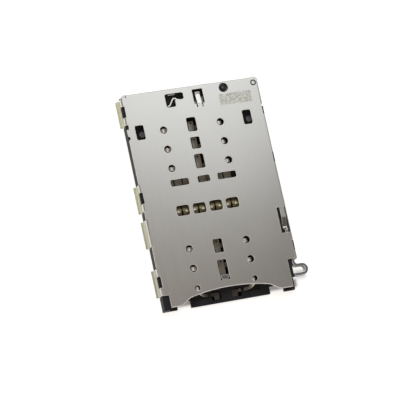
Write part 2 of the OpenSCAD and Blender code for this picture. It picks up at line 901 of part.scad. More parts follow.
// The part of a shape that lies between x0 and x1
module between(x0, x1) {
    intersection() {
        children();
        translate([x0, -shell_l, -far]) cube([x1 - x0, 2 * shell_l, 3 * far]);
    }
}

// The moulding is held as its floor, its two sides and the lever's post, which meet face to face
module housing() {
    color([0.08, 0.08, 0.09]) between(slot_left, slot_right) floor_plate();
}

module left_rail() {
    color([0.08, 0.08, 0.09]) union() {
        between(left, slot_left) floor_plate();
        rail(slot_left, house_left, house_back - left_corner_r);
        side_fillings();
        mirror([1, 0, 0]) for (i = latched_feet) latch_hook(foot_middles[i], house_right - lap);
    }
}

module right_rail() {
    color([0.08, 0.08, 0.09]) difference() {
        union() {
            between(slot_right, right) floor_plate();
            rail(slot_right, rail_out, rail_back);
            for (y = right_latches) {
                latch_hook(y, post_in);
                latch_post(y);
            }
        }
        rod_channel();
        finger_pocket();
        translate([rail_out - rail_step, front - far, floor_t]) cube([far, loop_front_y - front + far, far]);
    }
}

// Post that the lever turns on, with the shoulder that carries the lever's ring
module pivot_post() {
    color([0.08, 0.08, 0.09]) translate([pivot[0], pivot[1], floor_t]) {
        cylinder(h = shoulder_h, r = pivot_r + shoulder_w);
        cylinder(h = height - post_below - floor_t, r = pivot_r);
    }
}

// Sloped edge of the floor along the mouth
module mouth_chamfer() {
    translate([(bar_left + bar_right) / 2, house_front, floor_t]) rotate([45, 0, 0])
        cube([bar_right - bar_left + lap, lead_in, lead_in], center = true);
}

// Lowered floor beside the right rail for the push rod, and under the rod's bent pad
module rod_channel() {
    translate([rail_out, front, channel_z]) cube([post_in - rail_out, shell_l, far]);
    difference() {
        translate([rail_out, front - far, channel_z]) cube([far, shell_l + 2 * far, floor_t]);
        for (y = right_latches) translate([rail_out, y - latch_l / 2, 0]) cube([2 * far, latch_l, far]);
    }
    translate([rod_out - pad_l - rod_clear, rail_back, channel_z])
        cube([far, pad_back + rod_clear - rail_back, far]);
}

// Room beside the channel for the shell's finger on the rod
module finger_pocket() {
    pocket_w = finger_w + 2 * shell_fit;
    translate([rod_x - pocket_w / 2, rod_finger_tip - rod_notch_past, rod_notch_floor])
        cube([pocket_w, rod_finger_root - rod_finger_tip + rod_notch_past, far]);
}

// Push rod: a strip on edge with a bent pad at the back and a folded loop at the front
module push_rod() {
    loop_x = right + loop_reach - loop_inner_r - rod_t;
    loop_back_y = loop_front_y + 2 * rod_t + loop_gap;
    color([0.72, 0.71, 0.69]) difference() {
        translate([rod_out - pad_l, pad_back - rod_t, rod_z]) linear_extrude(rod_top - rod_z) strip(rod_t, [
            [pad_l - rod_t - pad_r, -90, pad_r],
            [pad_back - rod_t - pad_r - loop_back_y - rod_bend_r, 90, rod_bend_r],
            [loop_x - rod_out - rod_bend_r, -180, loop_inner_r],
            [loop_x - rod_in, 0, 0]
        ]);
        translate([rod_x - far / 2, rod_finger_tip - rod_notch_past, rod_notch_floor])
            cube([far, rod_finger_root - rod_finger_tip + 2 * rod_notch_past, far]);
    }
}

// Tapered bar between two round ends
module bar(p, q, wide, narrow) {
    along = (q - p) / norm(q - p);
    across = [-along[1], along[0]];
    polygon([p + wide * across, q + narrow * across, q - narrow * across, p - wide * across]);
}

module ejector_lever() {
    tip = pivot - lever_arm * [cos(tip_rest_angle), sin(tip_rest_angle)];
    ring_r = pivot_r + pivot_clear + lever_ring_w;
    color([0.75, 0.74, 0.72]) translate([0, 0, lever_z]) difference() {
        union() {
            translate(pivot) cylinder(h = lever_t, r = ring_r);
            translate(nose) cylinder(h = lever_t, r = nose_r);
            translate(tip) cylinder(h = lever_t, r = tip_end_r);
            linear_extrude(lever_t) bar(pivot, nose, ring_r - lever_waist, nose_r - lever_waist);
            linear_extrude(lever_t) bar(pivot, tip, ring_r - lever_waist, tip_end_r - lever_waist);
        }
        translate([pivot[0], pivot[1], -far]) cylinder(h = 2 * far, r = pivot_r + pivot_clear);
    }
}

// Detect spring: a strip on edge, moulded in at its left end, with a humped free end
module detect_spring() {
    rise = detect_x + detect_root_l + detect_step_l;
    color([0.8, 0.78, 0.72]) intersection() {
        translate([detect_x, detect_y, 0]) linear_extrude(detect_top) strip(detect_t, detect_steps);
        upright(detect_y - far, detect_y + far) polygon([
            [detect_x, 0],
            [detect_x + detect_root_l, 0],
            [rise, floor_t + slide_gap],
            [detect_x + detect_l, floor_t + slide_gap],
            [detect_x + detect_l, detect_top],
            [rise + detect_edge_shift, detect_top],
            [detect_x + detect_root_l + detect_edge_shift, floor_t],
            [detect_x, floor_t]
        ]);
    }
}

// Slot in the floor that holds the detect spring's root
module detect_slot() {
    slot_l = detect_root_l + detect_step_l + lap;
    translate([detect_x - mould_gap, detect_y - mould_gap, -far])
        cube([slot_l, detect_t + 2 * mould_gap, 2 * far]);
}

// Detect terminal: an upright strip behind the spring, with its tail turned back along the board
module detect_terminal() {
    color([0.8, 0.78, 0.72]) translate([terminal_x, house_back, 0]) rotate(-90)
        upright(-terminal_w / 2, terminal_w / 2) strip(contact_t, [
            [terminal_tail_l, 90, terminal_r],
            [detect_top - contact_t - terminal_r, 0, 0]
        ]);
}

// Card contact with a tail pad that fills its window's length
module card_contact(side, window) {
    pad_l = window[1] - pad_spare;
    half = contact_w / 2;
    slim = half * tip_taper;
    end_u = tip_u + pocket_past_tip;
    tail_u = side * tail_split + tail_gap / 2;
    color([0.83, 0.78, 0.62]) sided(side) intersection() {
        upright(-far, far) translate([tail_u, 0])
            strip(contact_t, contact_steps(tail_u, ramp_u, tip_u, contact_slope, card_toe));
        translate([0, 0, -far]) linear_extrude(3 * far) difference() {
            union() {
                translate([tail_u, window[0] - pad_l / 2])
                    square([ramp_u + pad_past_ramp - tail_u, pad_l + window[2]]);
                polygon([
                    [tail_u, -half],
                    [pocket_u, -half],
                    [end_u, -slim],
                    [end_u, slim],
                    [pocket_u, half],
                    [tail_u, half]
                ]);
            }
            translate([pilot_u, window[0] + pad_l / 2 + window[2] - pilot_in]) circle(pilot_r);
        }
    }
}

// Front row contact: tail at the front bar, neck in its post and a curved beam to the tip
module front_row_contact(side) {
    neck_half = front_neck_w / 2;
    arc_dy = front_row_y(2) - front_neck_y;
    arc_r = bow_radius(tip_u - front_arc_u, arc_dy);
    arc_end = bow_angle(arc_dy, arc_r) + front_past_tip;
    steps = contact_steps(front_tail_u, front_tail_u + front_tail_w, tip_u, front_slope, card_toe);
    color([0.83, 0.78, 0.62]) translate([card_x, 0, 0]) sided(side) intersection() {
        upright(house_front - far, 0) translate([front_tail_u, 0]) strip(contact_t, steps);
        translate([0, 0, -far]) linear_extrude(3 * far) union() {
            translate([front_tail_u, front_tail_end])
                square([front_tail_w, front_neck_y + neck_half - front_tail_end]);
            translate([front_tail_u, front_neck_y - neck_half])
                square([front_arc_u - front_tail_u + slit_lap, front_neck_w]);
            translate([front_arc_u, front_neck_y + arc_r])
                sector(arc_r - neck_half, arc_r + neck_half, -90, arc_end - 90);
        }
    }
}

// Contacts are numbered from the back, left before right
module back_contact(i) {
    row = floor(i / 2);
    translate([card_x, back_row_y(row), 0]) card_contact(i % 2 == 0 ? -1 : 1, back_windows[row]);
}

module front_contact(i) {
    row = floor(i / 2);
    side = i % 2 == 0 ? -1 : 1;
    if (row == 2) front_row_contact(side);
    else translate([card_x, front_row_y(row), 0]) card_contact(side, front_windows[row]);
}

// Memory card contact: its beam runs towards the mouth and carries a raised three-sided point
module memory_contact(i) {
    half = memory_w / 2;
    end_u = memory_reach + pocket_past_tip;
    point = half * memory_point_w;
    color([0.8, 0.68, 0.38]) translate([memory_contact_x(i), memory_tail_y, 0]) rotate(-90) {
        intersection() {
            upright(-far, far) translate([memory_tail_u, 0]) strip(contact_t,
                contact_steps(memory_tail_u, memory_ramp_u, memory_reach, memory_slope, memory_toe));
            translate([0, 0, -far]) linear_extrude(3 * far) union() {
                translate([memory_tail_u, -memory_pad_w / 2])
                    square([memory_ramp_u - memory_tail_u, memory_pad_w]);
                polygon([
                    [memory_tail_u, -half],
                    [memory_reach, -half],
                    [end_u, -point],
                    [end_u, point],
                    [memory_reach, half],
                    [memory_tail_u, half]
                ]);
            }
        }
        contact_point();
    }
}

// Point on a memory contact's crest: a three-sided stub with its corner to the back
module contact_point() {
    translate([memory_reach, 0, floor_t + contact_rise - point_sink]) rotate([0, -point_tilt, 0])
        linear_extrude(point_sink + point_rise)
            polygon([[-point_l / 2, 0], [point_l / 2, -point_w / 2], [point_l / 2, point_w / 2]]);
}

shell();
housing();
left_rail();
right_rail();
pivot_post();
push_rod();
ejector_lever();
detect_spring();
detect_terminal();
for (i = [0 : 5]) back_contact(i);
for (i = [0 : 5]) front_contact(i);
for (i = [0 : 7]) memory_contact(i);
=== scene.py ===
"""Visual model of a tray-type SIM card socket with a push-rod ejector."""
import math

import bmesh
import bpy
from bpy.props import FloatProperty, FloatVectorProperty, PointerProperty
from mathutils import Euler, Matrix, Vector


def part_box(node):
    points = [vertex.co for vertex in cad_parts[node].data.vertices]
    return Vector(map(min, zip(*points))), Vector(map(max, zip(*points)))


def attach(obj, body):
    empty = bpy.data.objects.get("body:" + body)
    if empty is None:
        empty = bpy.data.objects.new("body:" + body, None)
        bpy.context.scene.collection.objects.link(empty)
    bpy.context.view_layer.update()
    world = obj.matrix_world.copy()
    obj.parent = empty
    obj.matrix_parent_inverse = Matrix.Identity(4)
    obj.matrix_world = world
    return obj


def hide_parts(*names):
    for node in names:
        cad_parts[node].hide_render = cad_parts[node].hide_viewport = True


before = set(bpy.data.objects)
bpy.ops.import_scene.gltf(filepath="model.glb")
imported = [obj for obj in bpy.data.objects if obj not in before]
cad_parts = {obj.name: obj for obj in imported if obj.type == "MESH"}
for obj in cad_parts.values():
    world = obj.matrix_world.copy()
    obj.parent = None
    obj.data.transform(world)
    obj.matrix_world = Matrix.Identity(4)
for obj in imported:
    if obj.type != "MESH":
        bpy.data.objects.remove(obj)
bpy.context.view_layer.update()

bl_info = {
    "name": "SIM card socket",
    "version": (1, 0, 0),
    "blender": (4, 5, 0),
    "location": "3D View > Sidebar > Socket",
    "description": "Dresses the packed SIM card socket: rounded sheet edges, finishes, light and camera",
    "category": "Object",
}

MM = 0.001

MOULDING = ("housing", "left_rail", "right_rail", "pivot_post")
CARD_CONTACTS = [f"{group}_contact_{i}" for group in ("back", "front") for i in range(1, 7)]
MEMORY_CONTACTS = [f"memory_contact_{i}" for i in range(1, 9)]
DETECT_SWITCH = ("detect_spring", "detect_terminal")
EJECTOR = ("push_rod", "ejector_lever")


class SocketSizes(bpy.types.PropertyGroup):
    """Sizes of the rounded edges."""
    sheet_edge: FloatProperty(
        name="Sheet edge", description="Rounding of the stamped sheet's edges",
        default=0.04 * MM, min=0.0, max=0.06 * MM, precision=6, subtype="DISTANCE", unit="LENGTH")
    mouth_edge: FloatProperty(
        name="Mouth edge", description="Roll-over along the upper edge of the shell's arched mouth",
        default=0.1 * MM, min=0.0, max=0.11 * MM, precision=6, subtype="DISTANCE", unit="LENGTH")
    mould_edge: FloatProperty(
        name="Moulding edge", description="Rounding of the moulded housing's edges",
        default=0.03 * MM, min=0.0, max=0.06 * MM, precision=6, subtype="DISTANCE", unit="LENGTH")
    contact_edge: FloatProperty(
        name="Contact edge", description="Rounding of the contact strips' edges",
        default=0.022 * MM, min=0.0, max=0.04 * MM, precision=6, subtype="DISTANCE", unit="LENGTH")
    ejector_edge: FloatProperty(
        name="Ejector edge", description="Rounding of the push rod's and the lever's edges",
        default=0.05 * MM, min=0.0, max=0.08 * MM, precision=6, subtype="DISTANCE", unit="LENGTH")


class SocketFinish(bpy.types.PropertyGroup):
    """Colours of the finishes."""
    steel: FloatVectorProperty(
        name="Shell steel", description="Rolled stainless sheet of the shell",
        default=(0.66, 0.655, 0.645), size=3, min=0.0, max=1.0, subtype="COLOR")
    # Thin gold on the folds, painted nearly white as the folds' highlight
    flash_and_highlight: FloatVectorProperty(
        name="Gold flash", description="Thin gold on the folds above the solder feet",
        default=(0.97, 0.98, 0.88), size=3, min=0.0, max=1.0, subtype="COLOR")
    # Gold on the feet, painted lighter towards the back as light and darker towards the front as shade
    foot_back_lit: FloatVectorProperty(
        name="Back foot", description="Gold on the solder feet towards the back",
        default=(0.80, 0.84, 0.50), size=3, min=0.0, max=1.0, subtype="COLOR")
    foot_front_shaded: FloatVectorProperty(
        name="Front foot", description="Thinner gold on the solder feet towards the front",
        default=(0.52, 0.55, 0.45), size=3, min=0.0, max=1.0, subtype="COLOR")
    plastic: FloatVectorProperty(
        name="Housing plastic", description="Black moulding of the housing",
        default=(0.02, 0.02, 0.023), size=3, min=0.0, max=1.0, subtype="COLOR")
    strip: FloatVectorProperty(
        name="Contact strip", description="Plated strip of the card contacts",
        default=(0.47, 0.45, 0.39), size=3, min=0.0, max=1.0, subtype="COLOR")
    # Plating on the card contacts' tips, painted near white as a highlight
    strip_tip_highlight: FloatVectorProperty(
        name="Contact strip tip", description="Bright plating on the card contacts' tips",
        default=(0.97, 0.96, 0.93), size=3, min=0.0, max=1.0, subtype="COLOR")
    etch: FloatVectorProperty(
        name="Etched field", description="Dull field that is etched into the shell",
        default=(0.55, 0.54, 0.47), size=3, min=0.0, max=1.0, subtype="COLOR")
    gilt: FloatVectorProperty(
        name="Memory contact gold", description="Gold plating of the memory card contacts",
        default=(0.27, 0.235, 0.13), size=3, min=0.0, max=1.0, subtype="COLOR")
    # Thick gold on the memory contacts' tips, painted pale as a highlight
    gilt_tip_highlight: FloatVectorProperty(
        name="Memory contact tip", description="Thick bright gold on the memory card contacts' tips",
        default=(0.93, 0.90, 0.76), size=3, min=0.0, max=1.0, subtype="COLOR")
    rod: FloatVectorProperty(
        name="Ejector steel", description="Stamped strip of the push rod and the lever",
        default=(0.56, 0.57, 0.59), size=3, min=0.0, max=1.0, subtype="COLOR")


class SocketStage(bpy.types.PropertyGroup):
    """Light, floor and camera."""
    lens: FloatProperty(
        name="Lens", description="Focal length of the camera",
        default=183.9, min=10.0, max=500.0, subtype="DISTANCE_CAMERA")
    softbox_power: FloatProperty(
        name="Softbox power", description="Power of the softbox over the back of the socket",
        default=0.0098, min=0.0, max=5.0, subtype="POWER", unit="POWER")
    fill_power: FloatProperty(
        name="Fill power", description="Power of the fill lamp beside the camera",
        default=0.042, min=0.0, max=5.0, subtype="POWER", unit="POWER")
    world_level: FloatProperty(
        name="World level", description="Level of the light all round",
        default=0.8, min=0.0, max=2.0)
    floor_glow: FloatProperty(
        name="Floor glow", description="How far the floor shows white by itself",
        default=0.68, min=0.0, max=1.0)
    floor: FloatVectorProperty(
        name="Floor", description="Colour of the pale floor",
        default=(0.88, 0.88, 0.88), size=3, min=0.0, max=1.0, subtype="COLOR")


def sizes():
    return bpy.context.scene.socket_sizes


def finish():
    return bpy.context.scene.socket_finish


def stage():
    return bpy.context.scene.socket_stage


# Numbers of the sockets on a Mix node for colours: its factor, its two colours and its result
MIX_FACTOR, MIX_FIRST, MIX_SECOND, MIX_RESULT = 0, 6, 7, 2


class Nodes:
    """Small helper that adds and links the nodes of one material or world."""

    def __init__(self, owner, output="ShaderNodeOutputMaterial", coords="Object"):
        owner.use_nodes = True
        self.owner = owner
        self.tree = owner.node_tree
        self.tree.nodes.clear()
        self.output = self.add(output).inputs["Surface"]
        self.coords = self.add("ShaderNodeTexCoord").outputs[coords]
        self.x, self.y, self.z = self.add("ShaderNodeSeparateXYZ", {"Vector": self.coords}).outputs

    def link(self, source, target):
        self.tree.links.new(source, target)

    def add(self, kind, inputs=None, **settings):
        """A node with its settings, whose inputs get plain values or links from other nodes' outputs."""
        node = self.tree.nodes.new(kind)
        for key, value in settings.items():
            setattr(node, key, value)
        for key, value in (inputs or {}).items():
            if isinstance(value, bpy.types.NodeSocket):
                self.link(value, node.inputs[key])
            else:
                node.inputs[key].default_value = value
        return node

    def noise(self, cells, detail, roughness=0.5):
        """Noise with its number of cells per metre along X, Y and Z."""
        place = self.add("ShaderNodeMapping", {"Vector": self.coords, "Scale": cells}).outputs["Vector"]
        inputs = {"Vector": place, "Scale": 1.0, "Detail": detail, "Roughness": roughness}
        return self.add("ShaderNodeTexNoise", inputs).outputs["Fac"]

    def spread(self, value, low, high, start=0.3, end=0.7):
        """A value brought from one span, which is that of a noise if none is given, to another."""
        inputs = {"Value": value, "From Min": start, "From Max": end, "To Min": low, "To Max": high}
        return self.add("ShaderNodeMapRange", inputs).outputs["Result"]

    def times(self, first, second):
        return self.add("ShaderNodeMath", {0: first, 1: second}, operation="MULTIPLY").outputs[0]

    def plus(self, first, second):
        return self.add("ShaderNodeMath", {0: first, 1: second}, operation="ADD").outputs[0]

    def blend(self, factor, first, second):
        """Colour between two colours, each given as a tuple or a socket."""
        inputs = {MIX_FACTOR: factor}
        for key, colour in ((MIX_FIRST, first), (MIX_SECOND, second)):
            inputs[key] = (*colour, 1.0) if isinstance(colour, tuple) else colour
        return self.add("ShaderNodeMix", inputs, data_type="RGBA").outputs[MIX_RESULT]

    def bump(self, height, depth, strength):
        inputs = {"Height": height, "Distance": depth, "Strength": strength}
        return self.add("ShaderNodeBump", inputs).outputs["Normal"]

    def rim_highlight(self):
        """1 on the rounded edges of a piece, which the shell and the ejector paint bright as a highlight."""
        return self.add("ShaderNodeAttribute", attribute_name="rim_highlight").outputs["Fac"]

    def rise(self, value, low, high):
        """0 up to one place and 1 from another, in millimetres."""
        return self.spread(value, 0.0, 1.0, low * MM, high * MM)

    def fall(self, value, low, high):
        """1 up to one place and 0 from another, in millimetres."""
        return self.spread(value, 1.0, 0.0, low * MM, high * MM)

    def band(self, value, low, high, soft):
        """1 between two places and 0 outside them, with a soft edge, in millimetres."""
        start = self.rise(value, low - soft, low + soft)
        return self.times(start, self.fall(value, high - soft, high + soft))

    def patch(self, x0, x1, y0, y1, soft):
        """1 on a rectangle seen from above and 0 outside it, with a soft edge, in millimetres."""
        return self.times(self.band(self.x, x0, x1, soft), self.band(self.y, y0, y1, soft))

    def away(self, x, y):
        """Distance from a place in millimetres, seen from above."""
        across = self.plus(self.x, -x * MM)
        along = self.plus(self.y, -y * MM)
        square = self.plus(self.times(across, across), self.times(along, along))
        return self.add("ShaderNodeMath", {0: square}, operation="SQRT").outputs[0]

    def surface(self, inputs):
        """Principled shader on the surface. Gives the material."""
        self.link(self.add("ShaderNodeBsdfPrincipled", inputs).outputs["BSDF"], self.output)
        return self.owner


def material_nodes(name):
    """Nodes of the material of that name, which is made where it is missing."""
    return Nodes(bpy.data.materials.get(name) or bpy.data.materials.new(name))


def shade(colour, factor):
    """A colour made lighter or darker."""
    return tuple(min(1.0, channel * factor) for channel in colour)


# Patterns of the finishes: cells per metre along X, Y and Z, and the depth of those that have a relief
GRAIN = (9000.0, 300.0, 3000.0)
GRAIN_DEPTH = 0.0004 * MM
CLOUD = (160.0, 120.0, 160.0)
HATCH = (2600.0, 5200.0, 100.0)
PITS = (14000.0, 14000.0, 14000.0)
PITS_DEPTH = 0.006 * MM
FLOW = (700.0, 260.0, 700.0)
MARKS = (1500.0, 9000.0, 3000.0)
MARKS_DEPTH = 0.001 * MM
STAIN = (900.0, 900.0, 900.0)
STREAKS = (5000.0, 5000.0, 500.0)
STREAKS_DEPTH = 0.0012 * MM
FIBRE = (300.0, 300.0, 300.0)

# Places of the finishes are in millimetres. Heights on the shell between which one finish fades into another
FOOT_TOP = (0.15, 0.22)
FLASH_TOP = (0.45, 0.75)
PLATE_TOP = (1.44, 1.46)
# Where the front feet's painted shade fades into the back feet's painted light, along Y
FOOT_FADE = (-9.0, 5.0)
# Areas of the plate, as x from and to, y from and to, and the softness of their edges
ETCHED = (3.65, 7.95, 10.75, 12.22, 0.06)
# The tongue's area, painted dark as shade
SHADED_TONGUE = (-1.23, -0.17, -11.48, -10.95, 0.02)
# Ring that is coined into the plate's corner: its centre, and its groove's radius, half width and softness.
# The groove is painted dark as shade
COIN_AT = (8.6, 13.15)
COIN_R = 0.305
COIN_HALF = 0.075
COIN_SOFT = 0.03


def shell_steel():
    """Rolled sheet with a fine grain, an etched field, gold near the board with painted light and shade on
    it, painted shade in the coined groove and on the tongue, and a painted highlight on the rounded edges.
    """
    nodes = material_nodes("shell_steel")
    colours = finish()
    steel = tuple(colours.steel)
    grain = nodes.noise(GRAIN, 4.0, 0.6)
    cloud = nodes.noise(CLOUD, 2.0)
    colour = nodes.blend(nodes.spread(grain, 0.0, 1.0), shade(steel, 0.97), shade(steel, 1.03))
    colour = nodes.blend(nodes.spread(cloud, 0.0, 0.5), colour, shade(steel, 0.95))
    hatch = nodes.spread(nodes.noise(HATCH, 2.0, 0.7), 0.1, 1.0, 0.42, 0.58)
    etched = nodes.times(nodes.times(nodes.patch(*ETCHED), nodes.rise(nodes.z, *PLATE_TOP)), hatch)
    colour = nodes.blend(etched, colour, tuple(colours.etch))
    # The folds above the feet: thin gold, painted pale as their highlight and kept matte
    flashed_and_highlit = nodes.fall(nodes.z, *FLASH_TOP)
    colour = nodes.blend(flashed_and_highlit, colour, tuple(colours.flash_and_highlight))
    feet = nodes.blend(nodes.rise(nodes.y, *FOOT_FADE), tuple(colours.foot_front_shaded), tuple(colours.foot_back_lit))
    colour = nodes.blend(nodes.fall(nodes.z, *FOOT_TOP), colour, feet)
    groove_shade = nodes.band(nodes.away(*COIN_AT), COIN_R - COIN_HALF, COIN_R + COIN_HALF, COIN_SOFT)
    # Painted shade in the coined groove
    colour = nodes.blend(groove_shade, colour, shade(steel, 0.06))
    # Painted shade on the tongue
    colour = nodes.blend(nodes.patch(*SHADED_TONGUE), colour, shade(steel, 0.24))
    rim_highlight = nodes.rim_highlight()
    # Painted highlight: the rounded edges are painted bright, and kept matte so that the lamps light them
    colour = nodes.blend(rim_highlight, colour, shade(steel, 1.5))
    bare = nodes.spread(flashed_and_highlit, 1.0, 0.08, 0.0, 1.0)
    return nodes.surface({
        "Metallic": nodes.times(bare, nodes.spread(rim_highlight, 1.0, 0.0, 0.0, 1.0)),
        "Base Color": colour,
        "Roughness": nodes.plus(nodes.spread(grain, 0.33, 0.38), nodes.times(etched, 0.2)),
        "Normal": nodes.bump(grain, GRAIN_DEPTH, 0.5),
    })


# Places on the moulding that are painted lighter, as x, y and radius: painted light on the bosses under the
# side windows, and a painted highlight on the pivot post's top. Only what stands above the floor is painted
LIT_SPOTS = ((-7.1, 8.69, 0.42), (7.3, 8.69, 0.42), (4.42, 13.1, 0.14))
LIT_SPOT_SOFT = 0.04
LIT_SPOT_FOOT = (0.32, 0.38)


def housing_plastic():
    """Black moulding with a spark-eroded texture, a faint flow pattern and a few places painted lighter as
    light and highlight.
    """
    nodes = material_nodes("housing_plastic")
    plastic = tuple(finish().plastic)
    pits = nodes.noise(PITS, 4.0, 0.65)
    flow = nodes.noise(FLOW, 3.0)
    colour = nodes.blend(nodes.spread(flow, 0.0, 1.0), plastic, shade(plastic, 1.8))
    raised = nodes.rise(nodes.z, *LIT_SPOT_FOOT)
    for x, y, radius in LIT_SPOTS:
        lit_spot = nodes.times(nodes.fall(nodes.away(x, y), radius - LIT_SPOT_SOFT, radius), raised)
        # Painted light on the bosses and a painted highlight on the post's top
        colour = nodes.blend(lit_spot, colour, shade(plastic, 10.0))
    return nodes.surface({
        "Metallic": 0.0,
        "Base Color": colour,
        "Roughness": nodes.spread(pits, 0.42, 0.6),
        "Specular IOR Level": 0.1,
        "Normal": nodes.bump(pits, PITS_DEPTH, 0.5),
    })


# Heights on the contacts: the fading of the tails' top, how far below a tip's foot the arm is fully dark
# with painted shade, and how far to each side of its foot the tip's bright plating, partly a painted
# highlight, fades
TAIL_TOP = (0.14, 0.2)
ARM_SHADE_REACH = 0.3
TIP_SOFT = 0.06
# Where the tails at the mouth, painted dark as shade, begin, along Y
SHADED_MOUTH_TAILS = (-12.9, -12.4)


def plated_strip(name, strip, tip, tail, tip_foot, rough, metallic):
    """Plated strip with rolling marks along it, a little staining, arms painted dark as shade, a bright tip
    that is partly plating and partly a painted highlight, and painted shade on the tails at the mouth.
    """
    nodes = material_nodes(name)
    marks = nodes.noise(MARKS, 3.0, 0.6)
    stain = nodes.noise(STAIN, 2.0)
    colour = nodes.blend(nodes.spread(stain, 0.0, 1.0), shade(strip, 0.86), shade(strip, 1.08))
    # Painted shade on the arms below the tip
    arm_shade = nodes.fall(nodes.z, tip_foot - ARM_SHADE_REACH, tip_foot - TIP_SOFT)
    colour = nodes.blend(arm_shade, colour, shade(strip, 0.4))
    # The tip's plating is partly real and partly a painted highlight
    colour = nodes.blend(nodes.rise(nodes.z, tip_foot - TIP_SOFT, tip_foot + TIP_SOFT), colour, tip)
    flat = nodes.fall(nodes.z, *TAIL_TOP)
    colour = nodes.blend(flat, colour, tail)
    # Painted shade on the tails at the mouth
    mouth_shade = nodes.times(flat, nodes.fall(nodes.y, *SHADED_MOUTH_TAILS))
    colour = nodes.blend(mouth_shade, colour, shade(tail, 0.3))
    return nodes.surface({
        "Metallic": metallic,
        "Base Color": colour,
        "Roughness": nodes.spread(marks, *rough),
        "Normal": nodes.bump(marks, MARKS_DEPTH, 0.6),
    })


def contact_metal():
    """Plated strip of the card contacts and the detect switch."""
    colours = finish()
    return plated_strip("contact_metal", tuple(colours.strip), tuple(colours.strip_tip_highlight),
                        shade(colours.strip, 0.83), tip_foot=0.95, rough=(0.3, 0.42), metallic=0.4)


def contact_gold():
    """Gold-plated strip of the memory card contacts, whose tails have the plain plating."""
    colours = finish()
    return plated_strip("contact_gold", tuple(colours.gilt), tuple(colours.gilt_tip_highlight),
                        shade(colours.strip, 0.95), tip_foot=1.16, rough=(0.36, 0.5), metallic=0.5)


# Heights on the blanked strips: where the sides turn darker upwards with painted shade, and where the top,
# painted lighter as lit, begins
SIDE_SHADE_FOOT = (0.85, 1.0)
LIT_TOP_FOOT = (1.1, 1.2)


def ejector_steel():
    """Blanked strip: sides painted darker above as shade, with streaks, a top painted lighter as lit and a
    painted highlight on its rounded upper edges.
    """
    nodes = material_nodes("ejector_steel")
    rod = tuple(finish().rod)
    streaks = nodes.noise(STREAKS, 3.0, 0.6)
    # Painted shade on the sides, darker above
    colour = nodes.blend(nodes.rise(nodes.z, *SIDE_SHADE_FOOT), shade(rod, 0.62), shade(rod, 0.36))
    colour = nodes.blend(nodes.spread(streaks, 0.0, 0.5), colour, shade(rod, 0.4))
    lit_top = nodes.rise(nodes.z, *LIT_TOP_FOOT)
    # Painted light on the top, and a painted highlight on its rounded edges
    colour = nodes.blend(lit_top, colour, shade(rod, 0.72))
    colour = nodes.blend(nodes.times(nodes.rim_highlight(), lit_top), colour, shade(rod, 1.6))
    return nodes.surface({
        "Metallic": 1.0,
        "Base Color": colour,
        "Roughness": nodes.spread(streaks, 0.28, 0.42),
        "Normal": nodes.bump(streaks, STREAKS_DEPTH, 0.6),
    })


# Shadow painted on the floor under the socket, under the bar at its mouth, beside the bar on both sides, and
# beside the rod, as x from and to, y from and to, and how much of the light the painted shadow takes off
PAINTED_SHADOWS = (
    (-8.2, 8.0, -13.1, 13.1, 1.0),
    (-5.3, 4.8, -14.05, -12.0, 1.0),
    (-8.0, -5.3, -13.85, -13.1, 0.7),
    (4.8, 8.9, -13.85, -12.8, 0.7),
    (9.0, 10.4, -12.9, -11.7, 0.3),
)
PAINTED_SHADOW_SOFT = 0.2
BLACK = (0.0, 0.0, 0.0)
WHITE = (1.0, 1.0, 1.0)


def floor_after_painted_shadow(nodes):
    """1 on the open floor and less where the socket's shadow is painted on it."""
    lit = 1.0
    for *area, depth in PAINTED_SHADOWS:
        shadowed = nodes.patch(*area, PAINTED_SHADOW_SOFT)
        lit = nodes.times(nodes.plus(nodes.times(shadowed, -depth), 1.0), lit)
    return lit


def floor_paper():
    """Pale paper that shows white by itself, also in the metal, keeps the socket's shadow, and has more of
    it painted on, black under the socket.
    """
    nodes = material_nodes("floor_paper")
    pale = tuple(stage().floor)
    lit = floor_after_painted_shadow(nodes)
    colour = nodes.blend(nodes.noise(FIBRE, 2.0), shade(pale, 0.99), pale)
    # Painted shadow: the paper's colour and its glow go dark where the shadow is painted
    paper = nodes.add("ShaderNodeBsdfDiffuse", {"Color": nodes.blend(lit, BLACK, colour)})
    ray = nodes.add("ShaderNodeLightPath").outputs
    seen = nodes.plus(nodes.plus(ray["Is Camera Ray"], ray["Is Glossy Ray"]), ray["Is Transmission Ray"])
    strength = nodes.times(nodes.times(seen, stage().floor_glow), lit)
    glow = nodes.add("ShaderNodeEmission", {"Strength": strength})
    both = nodes.add("ShaderNodeAddShader", {0: paper.outputs["BSDF"], 1: glow.outputs["Emission"]})
    nodes.link(both.outputs["Shader"], nodes.output)
    return nodes.owner


# Points nearer to each other than this are one, and points this near to a plane lie on it
MERGE = 0.0005 * MM
LEVEL = 0.004 * MM
# Thickness of the shell's sheet
SHEET = 0.15 * MM
# Edges this near to the centre of the coined ring are left as they are
CRISP_R = 0.5 * MM
# Digits of a length in metres by which edges are put in order
LENGTH_DIGITS = 7
# Angles between faces: a flat joint, an edge that is rounded, and faces that share a normal
FLAT = math.radians(0.5)
SHARP = math.radians(28.0)
SMOOTH = math.cos(math.radians(50.0))
# Parts of a normal: along one axis on a flat face, at least to the front at the mouth, at most up on a wall
SQUARE = 0.99999
FORWARD = 0.2
UPRIGHT = 0.1
# Steps in a rounding
EDGE_SEGMENTS = 2
EJECTOR_SEGMENTS = 3
MOUTH_SEGMENTS = 4


def crisp(edge):
    """Whether an edge is at the coined ring, which is too near the shell's corner to be rounded."""
    return any((vert.co.xy - Vector(COIN_AT) * MM).length < CRISP_R for vert in edge.verts)


def level(shape, node):
    """Keeps a rounded form inside its node's box, and its points near top and foot on those planes."""
    low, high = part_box(node)
    for vert in shape.verts:
        for axis in range(3):
            vert.co[axis] = min(max(vert.co[axis], low[axis]), high[axis])
        for plane in (low[2], high[2]):
            if abs(vert.co.z - plane) < LEVEL:
                vert.co.z = plane


